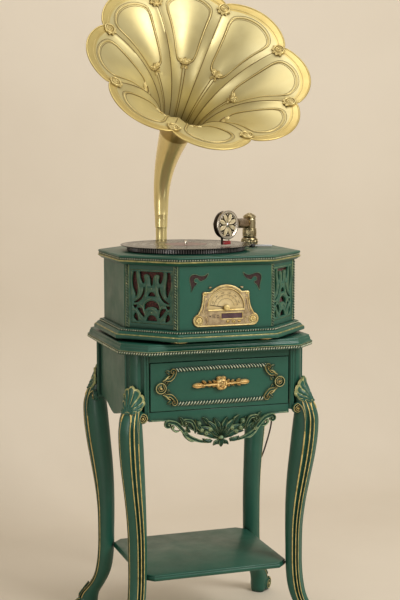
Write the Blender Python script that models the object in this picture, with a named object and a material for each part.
"""Floor-standing horn gramophone: an octagonal case on a stand with one drawer.

Frame: metres, +Z up, origin on the floor under the centre of the stand,
+X to the right and -Y to the front of the object.
Turned profiles are rows of (radius, height along the axis).
Moulding profiles are rows of (outset from the plan, height above its base).
"""
import math

import bmesh
import bpy
from mathutils import Vector

for old_object in list(bpy.data.objects):
    bpy.data.objects.remove(old_object, do_unlink=True)

# ---------------------------------------------------------- shared dimensions
GAP = 0.0003                    # clearance between neighbouring solids
SIDES = (("left", -1), ("right", 1))
CORNERS = (("front_left", -1, -1), ("front_right", 1, -1),
           ("back_left", -1, 1), ("back_right", 1, 1))
Y_AXIS = (0, 1, 0)

# Stand. A plan is (half width, half depth, corner cut, centre y).
TOP_PLAN = (0.2327, 0.1954, 0.0535, 0.0)
TOP_Z0, TOP_Z1 = 0.6880, 0.7120
BODY_HALF_X, BODY_HALF_Y, BODY_CORNER = 0.2110, 0.1605, 0.0370
BODY_FRONT_Y = -BODY_HALF_Y
POST_X, POST_Y = 0.1665, 0.1155  # inner edges of the corner posts
DRAWER_Z0, DRAWER_Z1 = 0.5590, 0.6670

# Case
CASE_HALF_X, CASE_HALF_Y, CASE_CORNER = 0.2037, 0.1852, 0.0964
CASE_Y = -0.0060
CASE_PLAN = (CASE_HALF_X, CASE_HALF_Y, CASE_CORNER, CASE_Y)
FRONT_Y, BACK_Y = CASE_Y - CASE_HALF_Y, CASE_Y + CASE_HALF_Y
BASE_Z0, BASE_Z1 = 0.7180, 0.7410
DECK_Z0, DECK_Z1 = 0.8820, 0.9020
CASE_MID_Z = 0.5 * (BASE_Z1 + DECK_Z0)
WALL_T = 0.0100

# Power cord, where it leaves the case
CORD_R = 0.0030
CORD_X, CORD_Z = 0.0800, 0.7680

# ------------------------------------------------------------------ materials
# finish: (sRGB colour 0-255, roughness, metallic)
FINISHES = {
    "green": ((58, 112, 92), 0.42, 0.0),
    "brass": ((190, 160, 90), 0.30, 1.0),
    "cream_brass": ((205, 195, 140), 0.32, 1.0),
    "dark_brass": ((120, 100, 65), 0.32, 1.0),
    "chrome": ((215, 212, 200), 0.15, 1.0),
    "black": ((22, 21, 20), 0.25, 0.0),
    "cloth": ((105, 45, 45), 0.90, 0.0),
    "wood": ((150, 112, 70), 0.60, 0.0),
    "cream": ((222, 205, 160), 0.55, 0.0),
    "lcd": ((62, 40, 60), 0.12, 0.0),
    "board": ((40, 95, 55), 0.50, 0.0),
    "steel": ((150, 150, 150), 0.35, 1.0),
    "rubber": ((28, 28, 28), 0.75, 0.0),
    "red": ((150, 35, 35), 0.35, 0.0),
    "gilt": ((196, 158, 86), 0.35, 1.0),
    "cord": ((62, 48, 36), 0.60, 0.0),
}


def linear(value):
    """Linear-light value of one sRGB channel given as 0-255."""
    value /= 255.0
    return value / 12.92 if value <= 0.04045 else ((value + 0.055) / 1.055) ** 2.4


def make_material(name, finish):
    rgb, roughness, metallic = FINISHES[finish]
    colour = (*map(linear, rgb), 1.0)
    material = bpy.data.materials.new(name)
    material.use_nodes = True
    shader = material.node_tree.nodes["Principled BSDF"]
    shader.inputs["Base Color"].default_value = colour
    shader.inputs["Roughness"].default_value = roughness
    shader.inputs["Metallic"].default_value = metallic
    material.diffuse_color = colour
    return material


# -------------------------------------------------------------------- objects
def face_outward(bm):
    bmesh.ops.recalc_face_normals(bm, faces=bm.faces)
    if bm.calc_volume(signed=True) < 0:
        bmesh.ops.reverse_faces(bm, faces=bm.faces)


def link_mesh(name, bm):
    """Turn a bmesh into a linked object and free it."""
    mesh = bpy.data.meshes.new(name)
    bm.to_mesh(mesh)
    bm.free()
    ob = bpy.data.objects.new(name, mesh)
    bpy.context.collection.objects.link(ob)
    return ob


def add(name, bm, finish, smooth=False):
    """Make a named piece with a material of its own."""
    bmesh.ops.remove_doubles(bm, verts=bm.verts, dist=1e-7)
    face_outward(bm)
    ob = link_mesh(name, bm)
    ob.data.materials.append(make_material(name + "_mat", finish))
    if smooth:
        ob.data.shade_smooth()
        ob.data.set_sharp_from_angle(angle=math.radians(38))
    return ob


def combine(ob, tools, operation):
    """Apply one Boolean per tool; the tools are temporary."""
    for bm in tools:
        face_outward(bm)
        tool = link_mesh("tool", bm)
        modifier = ob.modifiers.new("cut", "BOOLEAN")
        modifier.operation = operation
        modifier.object = tool
        bpy.context.view_layer.update()
        depsgraph = bpy.context.evaluated_depsgraph_get()
        result = bpy.data.meshes.new_from_object(ob.evaluated_get(depsgraph))
        ob.modifiers.clear()
        ob.data = result
        bpy.data.objects.remove(tool, do_unlink=True)


def cut(ob, *tools):
    combine(ob, tools, "DIFFERENCE")


def fuse(ob, *tools):
    combine(ob, tools, "UNION")


def mount(name, location, *parts):
    """Add an empty and parent parts to it where they stand."""
    pivot = bpy.data.objects.new(name, None)
    pivot.location = location
    bpy.context.collection.objects.link(pivot)
    bpy.context.view_layer.update()
    for part in parts:
        part.parent = pivot
        part.matrix_parent_inverse = pivot.matrix_world.inverted()
    return pivot


# --------------------------------------------------------------------- solids
def loft(rings, cyclic=False):
    """Skin equal-length closed rings; the ends are capped, or joined if cyclic."""
    bm = bmesh.new()
    rows = [[bm.verts.new(p) for p in ring] for ring in rings]
    n = len(rows[0])
    for a, b in list(zip(rows, rows[1:])) + ([(rows[-1], rows[0])] if cyclic else []):
        for k in range(n):
            j = (k + 1) % n
            bm.faces.new((a[k], a[j], b[j], b[k]))
    if not cyclic:
        bm.faces.new(list(reversed(rows[0])))
        bm.faces.new(rows[-1])
    return bm


def at_height(outline, z):
    return [(x, y, z) for x, y in outline]


def level(x, y, z):
    """Prism placing: outline in plan, extruded along Z."""
    return (x, y, z)


def upright(x, z, y):
    """Prism placing: outline seen from the front, extruded along Y."""
    return (x, y, z)


def sideways(y, z, x):
    """Prism placing: outline seen from the side, extruded along X."""
    return (x, y, z)


def prism(outline, low, high, place=level):
    return loft([[place(u, v, depth) for u, v in outline] for depth in (low, high)])


def rectangle(u0, u1, v0, v1):
    return [(u0, v0), (u1, v0), (u1, v1), (u0, v1)]


def box(x0, x1, y0, y1, z0, z1):
    return prism(rectangle(x0, x1, y0, y1), z0, z1)


def band(outer, inner, z0, z1):
    """Upright wall between two equal-length plan outlines."""
    return loft([at_height(outer, z0), at_height(outer, z1),
                 at_height(inner, z1), at_height(inner, z0)], cyclic=True)


def cross_axes(axis):
    """Two unit vectors square to an axis and to each other."""
    axis = Vector(axis).normalized()
    reference = Vector((0, 0, 1)) if abs(axis.z) < 0.9 else Vector((1, 0, 0))
    first = axis.cross(reference).normalized()
    return first, axis.cross(first).normalized()


def circle(centre, first, second, radius, n):
    turns = [2 * math.pi * k / n for k in range(n)]
    return [centre + first * radius * math.cos(a) + second * radius * math.sin(a)
            for a in turns]


def lathe(profile, origin, axis=(0, 0, 1), n=24):
    """Turn a profile that starts and ends on the axis, or closes clear of it as a ring."""
    first, second = cross_axes(axis)
    axis, origin = Vector(axis).normalized(), Vector(origin)
    bm = bmesh.new()
    rows = []
    for radius, height in profile:
        centre = origin + axis * height
        ring = circle(centre, first, second, radius, n) if radius else [centre]
        rows.append([bm.verts.new(p) for p in ring])
    clear_of_axis = profile[0][0] > 0
    for a, b in list(zip(rows, rows[1:])) + ([(rows[-1], rows[0])] if clear_of_axis else []):
        for k in range(n):
            j = (k + 1) % n
            if len(a) == 1:
                bm.faces.new((a[0], b[k], b[j]))
            elif len(b) == 1:
                bm.faces.new((a[k], a[j], b[0]))
            else:
                bm.faces.new((a[k], a[j], b[j], b[k]))
    return bm


def cylinder(radius, low, high, origin, axis=(0, 0, 1), n=16):
    return lathe(((0.0, low), (radius, low), (radius, high), (0.0, high)), origin, axis, n)


def sweep(path, radii, n, closed=False):
    """Round bar along a path, with the ring's axes carried from point to point."""
    points = [Vector(p) for p in path]
    last = len(points) - 1
    tangents = []
    for i in range(last + 1):
        if closed:
            chord = points[(i + 1) % (last + 1)] - points[i - 1]
        else:
            chord = points[min(i + 1, last)] - points[max(i - 1, 0)]
        tangents.append(chord.normalized())
    first, _ = cross_axes(tangents[0])
    rings = []
    for point, tangent, radius in zip(points, tangents, radii):
        first = (first - tangent * first.dot(tangent)).normalized()
        second = tangent.cross(first).normalized()
        rings.append(circle(point, first, second, radius, n))
    return loft(rings, cyclic=closed)


def octagon(plan, outset=0.0):
    """Rectangle with cut corners, offset outwards by the same distance on all sides."""
    a, b, c, cy = plan
    a, b, c = a + outset, b + outset, c + outset * (2 - math.sqrt(2))
    return [(a, -b + c + cy), (a, b - c + cy), (a - c, b + cy), (-a + c, b + cy),
            (-a, b - c + cy), (-a, -b + c + cy), (-a + c, -b + cy), (a - c, -b + cy)]


def moulded(plan, base_z, profile):
    return loft([at_height(octagon(plan, outset), base_z + h) for outset, h in profile])


def bezier(p0, p1, p2, p3, t):
    s = 1 - t
    return p0 * s ** 3 + p1 * 3 * s * s * t + p2 * 3 * s * t * t + p3 * t ** 3


def arc(centre_x, centre_z, radius, start, step, count):
    """Points on a circle; start and step are in degrees."""
    angles = [math.radians(start + i * step) for i in range(count)]
    return [(centre_x + radius * math.cos(a), centre_z + radius * math.sin(a))
            for a in angles]


def catmull_rom(a, b, c, d, t):
    return 0.5 * (2 * b + (c - a) * t + (2 * a - 5 * b + 4 * c - d) * t * t
                  + (3 * b - a - 3 * c + d) * t ** 3)


def stroke(stations, steps):
    """Closed outline of a curved stroke through (x, z, half width) stations."""
    last = len(stations) - 1
    spine = []
    for i in range(steps + 1):
        u = i / steps * last
        j = min(int(u), last - 1)
        span = (stations[max(j - 1, 0)], stations[j], stations[j + 1],
                stations[min(j + 2, last)])
        spine.append([catmull_rom(*values, u - j) for values in zip(*span)])
    one_edge, other_edge = [], []
    for i, (x, z, half_width) in enumerate(spine):
        before, after = spine[max(i - 1, 0)], spine[min(i + 1, steps)]
        dx, dz = after[0] - before[0], after[1] - before[1]
        scale = half_width / math.hypot(dx, dz)
        one_edge.append((x - dz * scale, z + dx * scale))
        other_edge.append((x + dz * scale, z - dx * scale))
    return one_edge + other_edge[::-1]


def mirrored(stations, side):
    return [(x * side, z, half_width) for x, z, half_width in stations]


# ---------------------------------------------------- stand: top and framing
TOP_PROFILE = ((-0.0040, 0.0), (0.0, 0.0025), (0.0, 0.0070), (-0.0050, 0.0110),
               (-0.0070, 0.0160), (-0.0085, 0.0205), (-0.0110, TOP_Z1 - TOP_Z0))
add("stand_top", moulded(TOP_PLAN, TOP_Z0, TOP_PROFILE), "green")

BOARD_T, PANEL_T = 0.0160, 0.0140      # front boards, side and back panels
FRAME_Y = BODY_FRONT_Y + 0.0020        # front face of rail and apron
FRAME_HALF_X, FRAME_HALF_Y = POST_X - 0.0005, POST_Y - 0.0005
FRAME_TOP = TOP_Z0 - GAP
SIDE_PANEL_X = BODY_HALF_X - 0.0060    # outer faces
BACK_PANEL_Y = BODY_HALF_Y - 0.0040

add("front_rail", box(-FRAME_HALF_X, FRAME_HALF_X, FRAME_Y, FRAME_Y + BOARD_T,
                      DRAWER_Z1 + 0.0010, FRAME_TOP), "green")


def apron(half_width, top, end_z, middle_z, sweep_part, steps):
    """Board outline whose lower edge dips to middle_z and is flat past sweep_part."""
    points = [(-half_width, top)]
    for i in range(steps + 1):
        u = -1 + 2 * i / steps
        z = end_z
        if abs(u) <= sweep_part:
            rise = 0.5 - 0.5 * math.cos(math.pi * abs(u) / sweep_part)
            z = middle_z + (end_z - middle_z) * rise ** 0.85
        points.append((half_width * u, z))
    return points + [(half_width, top)]


add("front_apron", prism(apron(FRAME_HALF_X, DRAWER_Z0 - 0.0012, 0.5365, 0.4860, 0.86, 20),
                         FRAME_Y, FRAME_Y + BOARD_T, upright), "green")
for name, side in SIDES:
    add("side_panel_" + name,
        prism(apron(FRAME_HALF_Y, FRAME_TOP, 0.5500, 0.5280, 0.80, 12),
              side * SIDE_PANEL_X, side * (SIDE_PANEL_X - PANEL_T), sideways), "green")
add("back_panel", prism(apron(FRAME_HALF_X, FRAME_TOP, 0.5450, 0.5150, 0.86, 16),
                        BACK_PANEL_Y, BACK_PANEL_Y - PANEL_T, upright), "green")

# -------------------------------------------------------------- stand: legs
LEG_CENTRE = (0.1885, 0.1380)    # zero of r, the distance out along the leg's diagonal
# height, outer face r, inner face r, half width across the diagonal
LEG_STATIONS = (
    (0.000, 0.0620, 0.0340, 0.0165), (0.010, 0.0730, 0.0310, 0.0195),
    (0.028, 0.0790, 0.0305, 0.0205), (0.048, 0.0690, 0.0260, 0.0200),
    (0.072, 0.0465, 0.0115, 0.0195), (0.096, 0.0315, -0.0020, 0.0195),
    (0.125, 0.0235, -0.0115, 0.0198), (0.165, 0.0187, -0.0163, 0.0202),
    (0.215, 0.0177, -0.0175, 0.0205), (0.270, 0.0193, -0.0187, 0.0205),
    (0.325, 0.0265, -0.0185, 0.0205), (0.380, 0.0375, -0.0157, 0.0212),
    (0.430, 0.0475, -0.0105, 0.0228), (0.475, 0.0540, -0.0055, 0.0240),
    (0.510, 0.0560, -0.0025, 0.0240),
)
# height, outer face r, half width of the outer face
KNEE_STATIONS = ((0.5300, 0.0540, 0.0165), (0.5480, 0.0480, 0.0165),
                 (0.5660, 0.0395, 0.0175), (0.5840, 0.0300, 0.0190),
                 (0.6020, 0.0205, 0.0200), (0.6190, 0.0110, 0.0170))
# x, y of the post above the knee; the first two points are its canted face
POST_SECTION = (
    (BODY_HALF_X - BODY_CORNER, BODY_HALF_Y), (BODY_HALF_X, BODY_HALF_Y - BODY_CORNER),
    (BODY_HALF_X, POST_Y), (0.1895, POST_Y), (0.1800, 0.1270), (0.1760, 0.1310),
    (POST_X, 0.1390), (POST_X, BODY_HALF_Y))
POST_Z0 = 0.6240                 # the post is straight from here up


def leg(side_x, side_y):
    """Cabriole leg that blends through the knee into the corner post."""
    centre = Vector((LEG_CENTRE[0] * side_x, LEG_CENTRE[1] * side_y))
    outward = Vector((side_x, side_y)).normalized()
    across = Vector((side_x, -side_y)).normalized()

    def at(r, t, z):
        return (*(centre + outward * r + across * t), z)

    rings = []
    for z, outer, inner, w in LEG_STATIONS:
        depth = outer - inner
        shoulder, heel = outer - 0.28 * depth, inner + 0.24 * depth
        rings.append([at(r, t * w, z) for r, t in (
            (outer, -0.6), (outer, 0.6), (shoulder, 1.0), (heel, 0.92),
            (inner, 0.5), (inner, -0.5), (heel, -0.92), (shoulder, -1.0))])
    post = [(x * side_x, y * side_y) for x, y in POST_SECTION]
    for z, outer, w in KNEE_STATIONS:
        rings.append([at(outer, -w, z), at(outer, w, z)] + at_height(post[2:], z))
    for z in (POST_Z0, TOP_Z0 - GAP):
        rings.append(at_height(post, z))
    return loft(rings)


for name, side_x, side_y in CORNERS:
    add("leg_" + name, leg(side_x, side_y), "green", True)

# ------------------------------------------- stand: shelf, carving, runners
SHELF_HALF_X, SHELF_HALF_Y, SHELF_CORNER = 0.1742, 0.1492, 0.0222
# inset of the edge, height; the corner cut stays the same
SHELF_PROFILE = ((0.0030, 0.1680), (0.0, 0.1710), (0.0, 0.1780), (0.0030, 0.1820))
add("lower_shelf", loft([
    at_height(octagon((SHELF_HALF_X - inset, SHELF_HALF_Y - inset, SHELF_CORNER, 0)), z)
    for inset, z in SHELF_PROFILE]), "green")

CARVING_HALF_X, CARVING_T, CARVING_STEPS = 0.1200, 0.0110, 24


def carving_outline():
    """Wavy-edged plate, deepest in the middle: lower edge, then upper edge back."""
    spread = [-1 + 2 * i / CARVING_STEPS for i in range(CARVING_STEPS + 1)]
    lower = [(CARVING_HALF_X * u, 0.4745 + 0.0500 * abs(u) ** 1.5
              + 0.0020 * math.cos(9 * math.pi * u)) for u in spread]
    upper = [(CARVING_HALF_X * u, 0.5290 + 0.0120 * u * u
              - 0.0060 * math.cos(3 * math.pi * u)) for u in reversed(spread)]
    return lower + upper


CARVING_BACK = FRAME_Y - GAP
add("apron_carving", prism(carving_outline(), CARVING_BACK - CARVING_T, CARVING_BACK,
                           upright), "green")

RUNNER_X = (0.1460, 0.1905)      # inner and outer edge
RUNNER_HALF_Y = 0.1120
for name, side in SIDES:
    x0, x1 = sorted(side * x for x in RUNNER_X)
    add("drawer_runner_" + name,
        box(x0, x1, -RUNNER_HALF_Y, RUNNER_HALF_Y, 0.5585, 0.5655), "wood")

# --------------------------------------------------------------------- drawer
DRAWER_HALF_X, DRAWER_FRONT_T = 0.1635, 0.0180
DRAWER_MID_Z = 0.5 * (DRAWER_Z0 + DRAWER_Z1)
TRAY_HALF_X, TRAY_Z0, TRAY_Z1 = 0.1500, 0.5660, 0.6560
TRAY_Y0, TRAY_Y1 = BODY_FRONT_Y + DRAWER_FRONT_T + GAP, 0.1250
TRAY_WALL, TRAY_FLOOR = 0.0080, 0.0060
ORNAMENT_STEPS, ORNAMENT_R = 44, 0.0034
PULL_STEPS, PULL_HALF_X = 16, 0.0640

drawer_front = add("drawer_front", prism(
    rectangle(-DRAWER_HALF_X, DRAWER_HALF_X, DRAWER_Z0, DRAWER_Z1),
    BODY_FRONT_Y, BODY_FRONT_Y + DRAWER_FRONT_T, upright), "green")
drawer_box = add("drawer_box", box(-TRAY_HALF_X, TRAY_HALF_X, TRAY_Y0, TRAY_Y1,
                                   TRAY_Z0, TRAY_Z1), "wood")
cut(drawer_box, box(-TRAY_HALF_X + TRAY_WALL, TRAY_HALF_X - TRAY_WALL,
                    TRAY_Y0 + TRAY_WALL, TRAY_Y1 - TRAY_WALL,
                    TRAY_Z0 + TRAY_FLOOR, TRAY_Z1 + 0.0140))


def ornament_path():
    """Rounded rectangle (a superellipse) with bowed-out ends."""
    path = []
    for i in range(ORNAMENT_STEPS):
        angle = 2 * math.pi * i / ORNAMENT_STEPS
        c, s = math.cos(angle), math.sin(angle)
        divisor = (abs(c) ** 5 + abs(s) ** 5) ** 0.2
        x = 0.1060 * c / divisor
        if abs(c) > 0.55:
            x = math.copysign(0.1060 + 0.0370 * (1 - (abs(s) / 0.835) ** 1.6), c)
        path.append((x, BODY_FRONT_Y - GAP - 0.0036, DRAWER_MID_Z + 0.0385 * s / divisor))
    return path


def pull_bar():
    """Straight bar with a bead at mid length and a slight swelling on each side."""
    path, radii = [], []
    for i in range(PULL_STEPS + 1):
        u = -1 + 2 * i / PULL_STEPS
        path.append((PULL_HALF_X * u, BODY_FRONT_Y - GAP - 0.0125, DRAWER_MID_Z + 0.0010))
        radii.append(0.0020 + 0.0100 * math.exp(-(u / 0.17) ** 2)
                     + 0.0030 * math.sin(math.pi * abs(u)) ** 2)
    return sweep(path, radii, 10)


ornament = add("drawer_ornament", sweep(ornament_path(), [ORNAMENT_R] * ORNAMENT_STEPS, 6,
                                        closed=True), "gilt", True)
pull = add("drawer_pull", pull_bar(), "gilt", True)
mount("drawer_guide", (0, BODY_FRONT_Y, DRAWER_MID_Z), drawer_front, drawer_box, ornament, pull)

# ------------------------------------------------------- case: base and feet
BASE_PROFILE = ((0.0185, 0.0), (0.0225, 0.0025), (0.0225, 0.0095), (0.0180, 0.0125),
                (0.0145, 0.0160), (0.0080, 0.0190), (0.0040, BASE_Z1 - GAP - BASE_Z0))
add("case_base", moulded(CASE_PLAN, BASE_Z0, BASE_PROFILE), "green")

FOOT_X, FOOT_Y = 0.1000, 0.1480  # from the case's centre
FOOT_H = BASE_Z0 - TOP_Z1 - GAP
FOOT_PROFILE = ((0.0, GAP), (0.0130, GAP), (0.0190, 0.0026), (0.0165, 0.0048),
                (0.0120, FOOT_H), (0.0, FOOT_H))
for name, side_x, side_y in CORNERS:
    add("case_foot_" + name,
        lathe(FOOT_PROFILE, (FOOT_X * side_x, FOOT_Y * side_y + CASE_Y, TOP_Z1), n=20),
        "brass", True)

# --------------------------------------------------- case: shell and grilles
GRILLE_HALF_W, GRILLE_Z0, GRILLE_Z1 = 0.0520, 0.7525, 0.8715   # opening in each front cant
# x, z of the opening behind the dial
DIAL_OPENING = ((-0.0520, 0.7540), (0.0520, 0.7540), (0.0520, 0.7960), (0.0460, 0.8180),
                (-0.0460, 0.8180), (-0.0520, 0.7960))
# x, z, half width of the slot in the case front above the dial, right side
LEAF = ((0.0790, 0.8270, 0.0010), (0.0770, 0.8480, 0.0060),
        (0.0600, 0.8600, 0.0050), (0.0420, 0.8640, 0.0008))
# fret slots: x from the panel's centre, z from the case's mid height, half width
FRET_MIRRORED = (
    ((0.0440, 0.0520, 0.0050), (0.0400, 0.0300, 0.0056), (0.0330, 0.0060, 0.0012)),
    ((0.0260, 0.0535, 0.0040), (0.0215, 0.0400, 0.0050), (0.0130, 0.0330, 0.0014)),
    ((0.0215, 0.0100, 0.0014), (0.0270, -0.0080, 0.0032), (0.0455, -0.0200, 0.0016)),
    ((0.0460, -0.0300, 0.0020), (0.0340, -0.0270, 0.0050), (0.0270, -0.0370, 0.0016)),
    ((0.0455, -0.0480, 0.0040), (0.0370, -0.0505, 0.0035), (0.0270, -0.0520, 0.0014)),
)
FRET_MIDDLE = (
    ((0.0, 0.0540, 0.0075), (0.0, 0.0440, 0.0034), (0.0, 0.0280, 0.0022)),
    ((0.0, 0.0170, 0.0026), (0.0, 0.0090, 0.0056), (0.0, 0.0020, 0.0022)),
    ((-0.0180, -0.0260, 0.0018), (0.0, -0.0120, 0.0060), (0.0180, -0.0260, 0.0018)),
    ((-0.0170, -0.0530, 0.0016), (0.0, -0.0440, 0.0050), (0.0170, -0.0530, 0.0016)),
)
# heights run outward from the face of the cant
SPEAKER_PROFILE = ((0.0, -0.0230), (0.0180, -0.0205), (0.0400, -0.0128), (0.0460, -0.0128),
                   (0.0460, -0.0155), (0.0380, -0.0200), (0.0290, -0.0360),
                   (0.0240, -0.0360), (0.0240, -0.0500), (0.0, -0.0500))


def cant_frame(side):
    """Middle at floor level, and outward normal, of a front cant of the case."""
    middle = Vector((side * (CASE_HALF_X - CASE_CORNER / 2), FRONT_Y + CASE_CORNER / 2, 0))
    return middle, Vector((side, -1, 0)).normalized()


def on_cant(side):
    """Prism placing: x along the cant, z up, extruded outward."""
    middle, outward = cant_frame(side)
    along = Vector((0, 0, 1)).cross(outward)

    def place(x, z, depth):
        point = middle + along * x + outward * depth
        return (point.x, point.y, z)
    return place


def grille_outline(margin=0.0):
    half_width = GRILLE_HALF_W + margin
    return rectangle(-half_width, half_width, GRILLE_Z0 - margin, GRILLE_Z1 + margin)


def fret_outlines():
    slots = [mirrored(slot, side) for slot in FRET_MIRRORED for side in (-1, 1)]
    return [[(x, z + CASE_MID_Z) for x, z in stroke(slot, 6)]
            for slot in slots + list(FRET_MIDDLE)]


shell = add("case_shell", band(octagon(CASE_PLAN), octagon(CASE_PLAN, -WALL_T),
                               BASE_Z1, DECK_Z0 - GAP), "green")
cut(shell,
    *[prism(grille_outline(), -0.0200, 0.0200, on_cant(side)) for _, side in SIDES],
    prism(DIAL_OPENING, FRONT_Y - 0.01, FRONT_Y + 0.02, upright),
    *[prism(stroke(mirrored(LEAF, side), 8), FRONT_Y - 0.01, FRONT_Y + 0.02, upright)
      for _, side in SIDES],
    box(-0.0900, 0.0900, BACK_Y - 0.02, BACK_Y + 0.01, 0.7580, 0.8640))

for name, side in SIDES:
    place = on_cant(side)
    grille = add("grille_" + name, prism(grille_outline(-0.0004), -0.0070, -0.0010, place),
                 "green")
    cut(grille, *[prism(slot, -0.0120, 0.0040, place) for slot in fret_outlines()])
    add("grille_cloth_" + name, prism(grille_outline(0.0040), -0.0120, -WALL_T - GAP, place),
        "cloth")
    middle, outward = cant_frame(side)
    add("speaker_" + name, lathe(SPEAKER_PROFILE, middle + Vector((0, 0, CASE_MID_Z)),
                                 outward, 20), "black", True)
add("grille_cloth_front", box(-0.0900, 0.0900, FRONT_Y + WALL_T + GAP,
                              FRONT_Y + WALL_T + 0.0018, 0.8225, 0.8700), "cloth")

# ----------------------------------------------------------------- dial group
DIAL_Z, DIAL_R = 0.7890, 0.0410
DIAL_CENTRE = (0, FRONT_Y, DIAL_Z)
WINDOW_DROP = 0.0045             # straight part of the window below the dial's centre
ESCUTCHEON_Y, ESCUTCHEON_T = FRONT_Y - GAP, 0.0040             # y of its back face
PLATE_Y, PLATE_T, PLATE_R = FRONT_Y + 0.0016, 0.0010, DIAL_R + 0.0025
PLATE_TOP, PLATE_DROP = 0.8176, 0.0090
LCD_X0, LCD_X1, LCD_Z0, LCD_Z1 = -0.0110, 0.0376, 0.7649, 0.7762
BUTTON_X, BUTTON_Z = (0.0040, 0.0172, 0.0304), 0.7578
BUTTON_HALF_X, BUTTON_HALF_Z, BUTTON_PLAY = 0.0029, 0.0016, 0.0004
# heights run backward from the case front
KNOB_PROFILE = ((0.0, -0.0130), (0.0030, -0.0130), (0.0058, -0.0122), (0.0066, -0.0105),
                (0.0066, -0.0058), (0.0058, -0.0052), (0.0029, -0.0052),
                (0.0029, 0.0260), (0.0, 0.0260))
POINTER_HUB = ((0.0032, -0.0036), (0.0042, -0.0036), (0.0042, -0.0026), (0.0032, -0.0026))
POINTER_ANGLE = math.radians(170.0)
# distance along the pointer, distance to its side
POINTER_BLADE = ((0.0037, 0.0008), (0.0037, -0.0008), (0.0375, -0.0003), (0.0375, 0.0003))
CROWN_R = 0.0510


def escutcheon_outline():
    """Symmetrical outline, worked up the right half from the bottom edge."""
    right = [(0.0590, -0.0415)]
    right += arc(0.0620, -0.0270, 0.0145, -66, 24, 7)          # lower corner boss
    flank = [Vector(p) for p in ((0.0668, -0.0133), (0.0580, -0.0030),
                                 (0.0560, 0.0080), (0.0545, 0.0240))]
    right += [tuple(bezier(*flank, t)) for t in (0.2, 0.45, 0.7, 0.9)]
    right += arc(0.0500, 0.0310, 0.0050, -30, 35, 5)           # ear
    right += arc(0.0, 0.0, CROWN_R, 44, 9.2, 5)
    half_and_mirror = right + [(0.0, CROWN_R)] + [(-x, z) for x, z in reversed(right)]
    return [(x, z + DIAL_Z) for x, z in half_and_mirror]


def arch(radius, steps, drop):
    """Half disc over the dial's centre with a straight part of height drop below."""
    return (arc(0.0, DIAL_Z, radius, 0, 180 / steps, steps + 1)
            + [(-radius, DIAL_Z - drop), (radius, DIAL_Z - drop)])


def through_escutcheon(outline):
    return prism(outline, ESCUTCHEON_Y - 0.01, ESCUTCHEON_Y + 0.01, upright)


def button_box(x, play, y0, y1):
    half_x, half_z = BUTTON_HALF_X + play, BUTTON_HALF_Z + play
    return box(x - half_x, x + half_x, y0, y1, BUTTON_Z - half_z, BUTTON_Z + half_z)


escutcheon = add("dial_escutcheon", prism(escutcheon_outline(), ESCUTCHEON_Y - ESCUTCHEON_T,
                                          ESCUTCHEON_Y, upright), "gilt")
cut(escutcheon,
    through_escutcheon(arch(DIAL_R, 20, WINDOW_DROP)),
    through_escutcheon(rectangle(LCD_X0, LCD_X1, LCD_Z0, LCD_Z1)),
    *[button_box(x, BUTTON_PLAY, ESCUTCHEON_Y - 0.01, ESCUTCHEON_Y + 0.01)
      for x in BUTTON_X])

# The plate is clipped flat at the top to sit within the case opening.
plate_outline = [(x, min(z, PLATE_TOP)) for x, z in arch(PLATE_R, 16, PLATE_DROP)]
dial_plate = add("dial_plate", prism(plate_outline, PLATE_Y, PLATE_Y + PLATE_T, upright),
                 "cream")
cut(dial_plate, cylinder(0.0036, -0.01, 0.01, (0, PLATE_Y, DIAL_Z), Y_AXIS))

add("lcd_window", box(LCD_X0 + GAP, LCD_X1 - GAP, ESCUTCHEON_Y - 0.0028,
                      ESCUTCHEON_Y + 0.0012, LCD_Z0 + GAP, LCD_Z1 - GAP), "lcd")

knob = add("tuner_knob", lathe(KNOB_PROFILE, DIAL_CENTRE, Y_AXIS, 20), "gilt", True)
pointer = add("dial_pointer", lathe(POINTER_HUB, DIAL_CENTRE, Y_AXIS, 16), "black")
cos_p, sin_p = math.cos(POINTER_ANGLE), math.sin(POINTER_ANGLE)
fuse(pointer, prism([(a * cos_p - b * sin_p, a * sin_p + b * cos_p + DIAL_Z)
                     for a, b in POINTER_BLADE], FRONT_Y - 0.0034, FRONT_Y - 0.0028, upright))
mount("tuner_axis", DIAL_CENTRE, knob, pointer)

for number, x in enumerate(BUTTON_X, 1):
    button = add("button_%d" % number,
                 button_box(x, 0.0, ESCUTCHEON_Y - 0.0056, ESCUTCHEON_Y + 0.0030), "gilt")
    mount("button_axis_%d" % number, (x, ESCUTCHEON_Y, BUTTON_Z), button)

# ------------------------------------------------------------------ internals
BOARD_Y = FRONT_Y + 0.0300       # front face of the control board
board = add("control_board", box(-0.0480, 0.0480, BOARD_Y, BOARD_Y + 0.0016,
                                 0.7520, 0.8150), "board")
# x0, x1, back y from the board's front face, z0, z1 of the blocks on its back
BOARD_BLOCKS = ((-0.0100, 0.0100, 0.0130, 0.7800, 0.7980),
                (-0.0400, -0.0200, 0.0100, 0.7600, 0.7720),
                (0.0200, 0.0440, 0.0070, 0.7600, 0.7800))
fuse(board, *[box(x0, x1, BOARD_Y + 0.0010, BOARD_Y + back, z0, z1)
              for x0, x1, back, z0, z1 in BOARD_BLOCKS])

transformer = add("power_transformer", box(0.0300, 0.0900, 0.0800, 0.1250,
                                           BASE_Z1 + GAP, 0.7850), "steel")
fuse(transformer, box(0.0380, 0.0820, 0.0700, 0.1350, 0.7460, 0.7780))

back_cover = add("back_cover", box(-0.0980, 0.0980, BACK_Y + GAP, BACK_Y + 0.0033,
                                   0.7510, 0.8710), "black")
cut(back_cover, cylinder(CORD_R + 0.0008, -0.02, 0.02, (CORD_X, BACK_Y, CORD_Z), Y_AXIS, 14))

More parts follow.
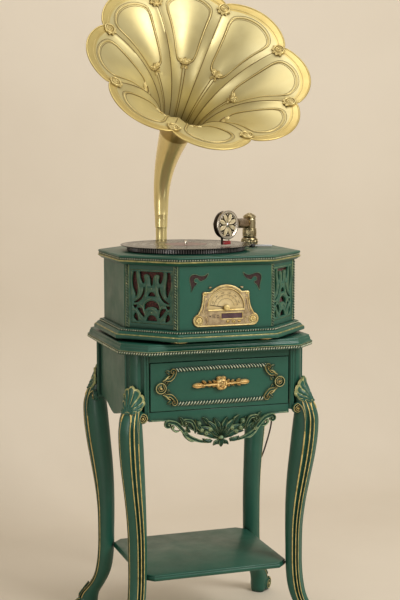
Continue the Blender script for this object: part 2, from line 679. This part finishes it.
# ------------------------------------------------------------------ turntable
DISC_X, DISC_Y = -0.0310, -0.0060
DISC_FLOOR = Vector((DISC_X, DISC_Y, 0))   # profile heights here are above the floor
RECORD_R, PLATTER_R = 0.1510, 0.1360
PLATTER_Z0, PLATTER_Z1, PLATTER_WEB_Z = 0.9032, 0.9137, 0.9105
RECORD_Z0, RECORD_Z1 = 0.9140, 0.9158
SPINDLE_R, BORE_R = 0.0036, 0.0040
HUB_R, PULLEY_R = 0.0500, 0.0080
PULLEY_Z0 = 0.9040
PULLEY_ANGLE = math.radians(205.0)
PULLEY_DISTANCE = HUB_R + PULLEY_R + 0.0130
PULLEY_DIRECTION = Vector((math.cos(PULLEY_ANGLE), math.sin(PULLEY_ANGLE), 0))
PULLEY_FLOOR = DISC_FLOOR + PULLEY_DIRECTION * PULLEY_DISTANCE
BELT_CLEARANCE, BELT_T = 0.0006, 0.0010

DECK_PROFILE = ((0.0040, 0.0), (0.0080, 0.0040), (0.0130, 0.0070), (0.0130, 0.0115),
                (0.0105, 0.0135), (0.0120, 0.0170), (0.0105, DECK_Z1 - DECK_Z0))
deck = add("case_deck", moulded(CASE_PLAN, DECK_Z0, DECK_PROFILE), "green")
cut(deck, cylinder(0.0046, 0.86, 0.92, DISC_FLOOR), cylinder(0.0050, 0.86, 0.92, PULLEY_FLOOR))

SPINDLE_PROFILE = ((0.0, 0.8780), (0.0040, 0.8780), (0.0040, DECK_Z1),
                   (SPINDLE_R, DECK_Z1 + 0.0004), (SPINDLE_R, 0.9215),
                   (0.0022, 0.9238), (0.0, 0.9245))
add("centre_spindle", lathe(SPINDLE_PROFILE, DISC_FLOOR, n=16), "chrome", True)

PLATTER_PROFILE = (
    (BORE_R, PLATTER_Z1), (PLATTER_R, PLATTER_Z1), (PLATTER_R, PLATTER_Z0),
    (PLATTER_R - 0.0035, PLATTER_Z0), (PLATTER_R - 0.0035, PLATTER_WEB_Z),
    (HUB_R, PLATTER_WEB_Z), (HUB_R, 0.9042), (HUB_R - 0.0030, 0.9042),
    (HUB_R - 0.0030, PLATTER_WEB_Z), (0.0110, PLATTER_WEB_Z), (0.0110, PLATTER_Z0),
    (BORE_R, PLATTER_Z0))
platter = add("platter", lathe(PLATTER_PROFILE, DISC_FLOOR, n=40), "steel", True)

RECORD_PROFILE = (
    (BORE_R, RECORD_Z1 - 0.0002), (0.0500, RECORD_Z1 - 0.0002), (0.0505, RECORD_Z1 - 0.0005),
    (RECORD_R - 0.0030, RECORD_Z1 - 0.0005), (RECORD_R - 0.0015, RECORD_Z1),
    (RECORD_R, RECORD_Z1 - 0.0007), (RECORD_R - 0.0008, RECORD_Z0), (BORE_R, RECORD_Z0))
record = add("record", lathe(RECORD_PROFILE, DISC_FLOOR, n=48), "black", True)
mount("platter_axis", (DISC_X, DISC_Y, PLATTER_Z0), platter, record)

MOTOR_PROFILE = ((0.0, 0.8420), (0.0180, 0.8420), (0.0190, 0.8440),
                 (0.0190, DECK_Z0 - 0.0015), (0.0180, DECK_Z0 - GAP),
                 (0.0022, DECK_Z0 - GAP), (0.0022, 0.8700), (0.0, 0.8700))
add("drive_motor", lathe(MOTOR_PROFILE, PULLEY_FLOOR, n=20), "steel", True)

PULLEY_PROFILE = ((0.0, 0.8710), (0.0018, 0.8710), (0.0018, PULLEY_Z0),
                  (PULLEY_R, PULLEY_Z0), (PULLEY_R, 0.9098), (0.0065, 0.9102), (0.0, 0.9102))
pulley = add("motor_pulley", lathe(PULLEY_PROFILE, PULLEY_FLOOR, n=20), "brass", True)
mount("pulley_axis", (PULLEY_FLOOR.x, PULLEY_FLOOR.y, PULLEY_Z0), pulley)


def belt_loop(offset):
    """Outline round hub and pulley: two arcs joined by outer tangents."""
    hub, small = HUB_R + offset, PULLEY_R + offset
    touch = math.degrees(math.acos((hub - small) / PULLEY_DISTANCE))
    points = (arc(0.0, 0.0, hub, touch, (360 - 2 * touch) / 28, 29)
              + arc(PULLEY_DISTANCE, 0.0, small, -touch, 2 * touch / 8, 9))
    ca, sa = math.cos(PULLEY_ANGLE), math.sin(PULLEY_ANGLE)
    return [(DISC_X + x * ca - y * sa, DISC_Y + x * sa + y * ca) for x, y in points]


add("drive_belt", band(belt_loop(BELT_CLEARANCE + BELT_T), belt_loop(BELT_CLEARANCE),
                       0.9050, 0.9085), "rubber")

# -------------------------------------------------------------------- tonearm
ARM_X, ARM_Y = 0.1608, 0.0850
ARM_FOOT = (ARM_X, ARM_Y, DECK_Z1)
ARM_PIVOT = Vector((ARM_X, ARM_Y, 0.9560))
NEEDLE_X, NEEDLE_Y = 0.0275, -0.0905
BOX_AXIS = Vector((0.4115, -0.9114, 0.0)).normalized()   # towards the sound box's face
BOX_R, BOX_T, BOX_Z = 0.0330, 0.0120, 0.9645
FACE_OFFSET = 0.0200             # from the needle to the sound box's face
BOX_BACK = Vector((NEEDLE_X, NEEDLE_Y, BOX_Z)) + BOX_AXIS * (FACE_OFFSET - BOX_T)
BEND_END = BOX_BACK - BOX_AXIS * 0.0145
BEND_R, BEND_STEPS = 0.0200, 5
PIN_R, PIN_HOLE_R, PIN_HALF_L = 0.0017, 0.0021, 0.0120

ARM_BASE_PROFILE = ((0.0, GAP), (0.0205, GAP), (0.0210, 0.0030), (0.0185, 0.0055),
                    (0.0160, 0.0060), (0.0160, 0.0130), (0.0175, 0.0150),
                    (0.0175, 0.0180), (0.0150, 0.0200), (0.0, 0.0200))
ELBOW_PROFILE = ((0.0, 0.0204), (0.0140, 0.0204), (0.0150, 0.0230), (0.0150, 0.0620),
                 (0.0142, 0.0655), (0.0110, 0.0675), (0.0105, 0.0715),
                 (0.0075, 0.0755), (0.0, 0.0775))
SOUND_BOX_PROFILE = ((0.0, -0.0110), (0.0085, -0.0110), (0.0095, -0.0010), (0.0290, 0.0),
                     (0.0310, 0.0012), (0.0310, 0.0085), (BOX_R, 0.0092), (BOX_R, BOX_T),
                     (0.0285, BOX_T), (0.0275, 0.0100), (0.0080, 0.0095),
                     (0.0070, 0.0115), (0.0, 0.0125))
# half length along the sound box axis, half width, height
CARTRIDGE_STATIONS = ((0.0003, 0.0003, RECORD_Z1 + 0.0004), (0.0012, 0.0012, 0.9215),
                      (0.0055, 0.0050, 0.9225), (0.0075, 0.0062, 0.9265),
                      (0.0075, 0.0062, 0.9370), (0.0060, 0.0050, 0.9395))

# The bend's tangent length depends on its angle, and that on the corner: iterate.
corner = BEND_END - BOX_AXIS * 0.0118
for _ in range(8):
    arm_direction = (corner - ARM_PIVOT).normalized()
    tangent_length = BEND_R * math.tan(arm_direction.angle(BOX_AXIS) / 2)
    corner = BEND_END - BOX_AXIS * tangent_length
arm_side = Vector((-arm_direction.y, arm_direction.x, 0)).normalized()
arm_up = arm_direction.cross(arm_side).normalized()


def arm_tube():
    straight = (corner - ARM_PIVOT).length - tangent_length
    # distance from the pivot, radius
    stations = ((0.0215, 0.0095), (0.0235, 0.0125), (0.0300, 0.0130), (0.0320, 0.0122),
                (0.0900, 0.0118), (straight, 0.0105))
    path = [ARM_PIVOT + arm_direction * distance for distance, _ in stations]
    radii = [radius for _, radius in stations]
    bend_start = corner - arm_direction * tangent_length
    bend_end = corner + BOX_AXIS * tangent_length
    for i in range(1, BEND_STEPS + 1):
        t = i / BEND_STEPS
        path.append(bend_start * (1 - t) ** 2 + corner * 2 * t * (1 - t) + bend_end * t * t)
        radii.append(0.0105 - 0.0015 * t)
    path.append(BOX_BACK - BOX_AXIS * 0.0115)
    radii.append(0.0088)
    return sweep(path, radii, 14)


def arm_box(along0, along1, half_width, up0, up1):
    """Box set square to the arm, measured from the pivot."""
    return loft([[ARM_PIVOT + arm_direction * a + arm_up * b + arm_side * t
                  for a, b in rectangle(along0, along1, up0, up1)]
                 for t in (-half_width, half_width)])


def pin_hole():
    return cylinder(PIN_HOLE_R, -0.03, 0.03, ARM_PIVOT, arm_side, 12)


def cartridge():
    needle = Vector((NEEDLE_X, NEEDLE_Y, 0))
    across = Vector((-BOX_AXIS.y, BOX_AXIS.x, 0))
    return loft([[needle + BOX_AXIS * a + across * b + Vector((0, 0, z))
                  for a, b in rectangle(-half_x, half_x, -half_y, half_y)]
                 for half_x, half_y, z in CARTRIDGE_STATIONS])


add("tonearm_base", lathe(ARM_BASE_PROFILE, ARM_FOOT), "cream_brass", True)
elbow = add("tonearm_elbow", lathe(ELBOW_PROFILE, ARM_FOOT), "cream_brass", True)
cut(elbow, arm_box(-0.0105, 0.0300, 0.0056, -0.0125, 0.0400), pin_hole())
tube = add("tonearm_tube", arm_tube(), "dark_brass", True)
fuse(tube, arm_box(-0.0045, 0.0240, 0.0050, -0.0060, 0.0060))
cut(tube, pin_hole())
pin = add("arm_pivot_pin", cylinder(PIN_R, -PIN_HALF_L, PIN_HALF_L, ARM_PIVOT, arm_side, 10),
          "steel", True)
sound_box = add("sound_box", lathe(SOUND_BOX_PROFILE, BOX_BACK, BOX_AXIS, 32), "chrome", True)
stylus = add("stylus_cartridge", cartridge(), "red")
lift_axis = mount("tonearm_lift_axis", ARM_PIVOT, tube, sound_box, stylus)
mount("tonearm_swivel", ARM_FOOT, elbow, pin, lift_axis)

# ---------------------------------------------------------------- speed lever
LEVER_PIVOT = Vector((0.1435, 0.0224, DECK_Z1))
LEVER_AIM = Vector((0.1904, 0.0118, DECK_Z1))      # a point the blade lies along
LEVER_PROFILE = ((0.0, GAP), (0.0060, GAP), (0.0072, 0.0015), (0.0072, 0.0070),
                 (0.0058, 0.0085), (0.0, 0.0090))
# distance from the pivot, distance to the side
LEVER_BLADE = ((0.0040, -0.0030), (0.0300, -0.0042), (0.0460, -0.0042), (0.0480, 0.0),
               (0.0460, 0.0042), (0.0300, 0.0042), (0.0040, 0.0030))
lever = add("speed_lever", lathe(LEVER_PROFILE, LEVER_PIVOT, n=18), "chrome", True)
lever_along = (LEVER_AIM - LEVER_PIVOT).normalized()
lever_across = Vector((-lever_along.y, lever_along.x, 0))
blade = [tuple((LEVER_PIVOT + lever_along * a + lever_across * b).xy) for a, b in LEVER_BLADE]
fuse(lever, prism(blade, DECK_Z1 + 0.0030, DECK_Z1 + 0.0052))
mount("lever_axis", LEVER_PIVOT, lever)

# ----------------------------------------------------------------------- horn
HORN_X, HORN_Y = -0.0385, 0.1630
HORN_FOOT = (HORN_X, HORN_Y, DECK_Z1)
MOUTH = Vector((-0.0305, -0.1100, 1.3196))     # centre of the ring through the rim notches
HORN_ELEVATION = math.radians(42.1)
HORN_AZIMUTH = math.radians(2.2)   # the bell looks a little to the right of straight ahead
NOTCH_R, LOBE_R = 0.2272, 0.2552
PETALS, PETAL_PHASE = 8, math.radians(105.0)
BELL_LENGTH, BELL_WALL, BELL_SEGMENTS = 0.2160, 0.0024, 40
BELL_STATIONS = (0.004, 0.18, 0.36, 0.54, 0.70, 0.84, 0.94, 1.0)   # 0 throat, 1 rim
TUBE_R0, TUBE_R1, TUBE_STEPS = 0.0176, 0.0380, 9     # curved part of the tube
# height, radius of the tube's upright part
UPRIGHT_STATIONS = ((0.9060, 0.0136), (0.9440, 0.0136), (0.9480, 0.0150),
                    (0.9740, 0.0158), (0.9780, 0.0165), (1.0000, TUBE_R0))
SOCKET_PROFILE = ((0.0, GAP), (0.0205, GAP), (0.0205, 0.0028), (0.0178, 0.0042),
                  (0.0170, 0.0105), (0.0142, 0.0105), (0.0142, 0.0035), (0.0, 0.0035))

cos_a, sin_a = math.cos(HORN_AZIMUTH), math.sin(HORN_AZIMUTH)
cos_e, sin_e = math.cos(HORN_ELEVATION), math.sin(HORN_ELEVATION)
BELL_AXIS = Vector((sin_a * cos_e, -cos_a * cos_e, sin_e))
BELL_RIGHT = Vector((cos_a, sin_a, 0))
BELL_UP = Vector((-sin_a * sin_e, cos_a * sin_e, cos_e))
THROAT = MOUTH - BELL_AXIS * BELL_LENGTH


def horn_tube():
    """Upright tube that curves over to meet the bell's throat."""
    path = [Vector((HORN_X, HORN_Y, z)) for z, _ in UPRIGHT_STATIONS]
    radii = [radius for _, radius in UPRIGHT_STATIONS]
    start = path[-1]
    curve = (start, start + Vector((0, 0, 0.0800)), THROAT - BELL_AXIS * 0.0700, THROAT)
    for i in range(1, TUBE_STEPS + 1):
        t = i / TUBE_STEPS
        path.append(bezier(*curve, t))
        radii.append(TUBE_R0 + (TUBE_R1 - TUBE_R0) * t ** 1.4)
    return sweep(path, radii, 20)


def bell_section(theta, s):
    """Radius and height above the throat of the fluted bell at angle theta, station s."""
    lobe = abs(math.sin(PETALS / 2 * (theta - PETAL_PHASE)))
    rim = NOTCH_R + (LOBE_R - NOTCH_R) * lobe ** 0.75
    radius = TUBE_R1 + 0.0006 + (rim - TUBE_R1) * (0.22 * s + 0.78 * s ** 2.3)
    height = BELL_LENGTH * (s - 0.10 * s ** 5) / 0.90 * (1.0 + 0.024 * lobe * s ** 3)
    return radius, height + 0.0070 * (1 - lobe) * math.sin(math.pi * s) * s


def bell_point(theta, s, wall):
    """Point of the bell, moved out square to its inner skin by wall."""
    radius, height = bell_section(theta, s)
    r1, h1 = bell_section(theta, min(s + 0.01, 1.0))
    r0, h0 = bell_section(theta, max(s - 0.01, 0.0))
    scale = wall / math.hypot(r1 - r0, h1 - h0)
    radius += (h1 - h0) * scale
    height -= (r1 - r0) * scale
    radial = BELL_RIGHT * math.cos(theta) + BELL_UP * math.sin(theta)
    return THROAT + BELL_AXIS * height + radial * radius


def horn_bell():
    """Inner skin from throat to rim, then outer skin back to the throat."""
    thetas = [2 * math.pi * k / BELL_SEGMENTS + PETAL_PHASE for k in range(BELL_SEGMENTS)]
    skins = [(s, 0.0) for s in BELL_STATIONS] + [(s, BELL_WALL) for s in BELL_STATIONS[::-1]]
    return loft([[bell_point(theta, s, wall) for theta in thetas] for s, wall in skins],
                cyclic=True)


add("horn_socket", lathe(SOCKET_PROFILE, HORN_FOOT), "brass", True)
horn_parts = (add("horn_tube", horn_tube(), "brass", True),
              add("horn_bell", horn_bell(), "cream_brass", True))
mount("horn_axis", HORN_FOOT, *horn_parts)

# ----------------------------------------------------------------- power cord
# x, y, z from inside the case, out through the back cover and down
CORD_PATH = (
    (CORD_X, 0.1700, CORD_Z), (0.0800, 0.1880, 0.7675), (0.0850, 0.2035, 0.7600),
    (0.0970, 0.2125, 0.7420), (0.1250, 0.2200, 0.7000), (0.1700, 0.2320, 0.6300),
    (0.2250, 0.2430, 0.5500), (0.2700, 0.2490, 0.4800), (0.2888, 0.2500, 0.4300),
    (0.2687, 0.2500, 0.3530), (0.2460, 0.2510, 0.2980), (0.2350, 0.2560, 0.2170),
    (0.2330, 0.2620, 0.1600), (0.2340, 0.2640, 0.1320))
CORD_END_X, CORD_END_Y = 0.2345, 0.2640
# height, radius of the thicker body on the cord's lower end
CORD_END_STATIONS = ((0.1280, 0.0042), (0.1150, 0.0050), (0.1130, 0.0105),
                     (0.0860, 0.0120), (0.0820, 0.0105))
cord_path = list(CORD_PATH) + [(CORD_END_X, CORD_END_Y, z) for z, _ in CORD_END_STATIONS]
cord_radii = [CORD_R] * len(CORD_PATH) + [radius for _, radius in CORD_END_STATIONS]
add("power_cord", sweep(cord_path, cord_radii, 8), "cord", True)
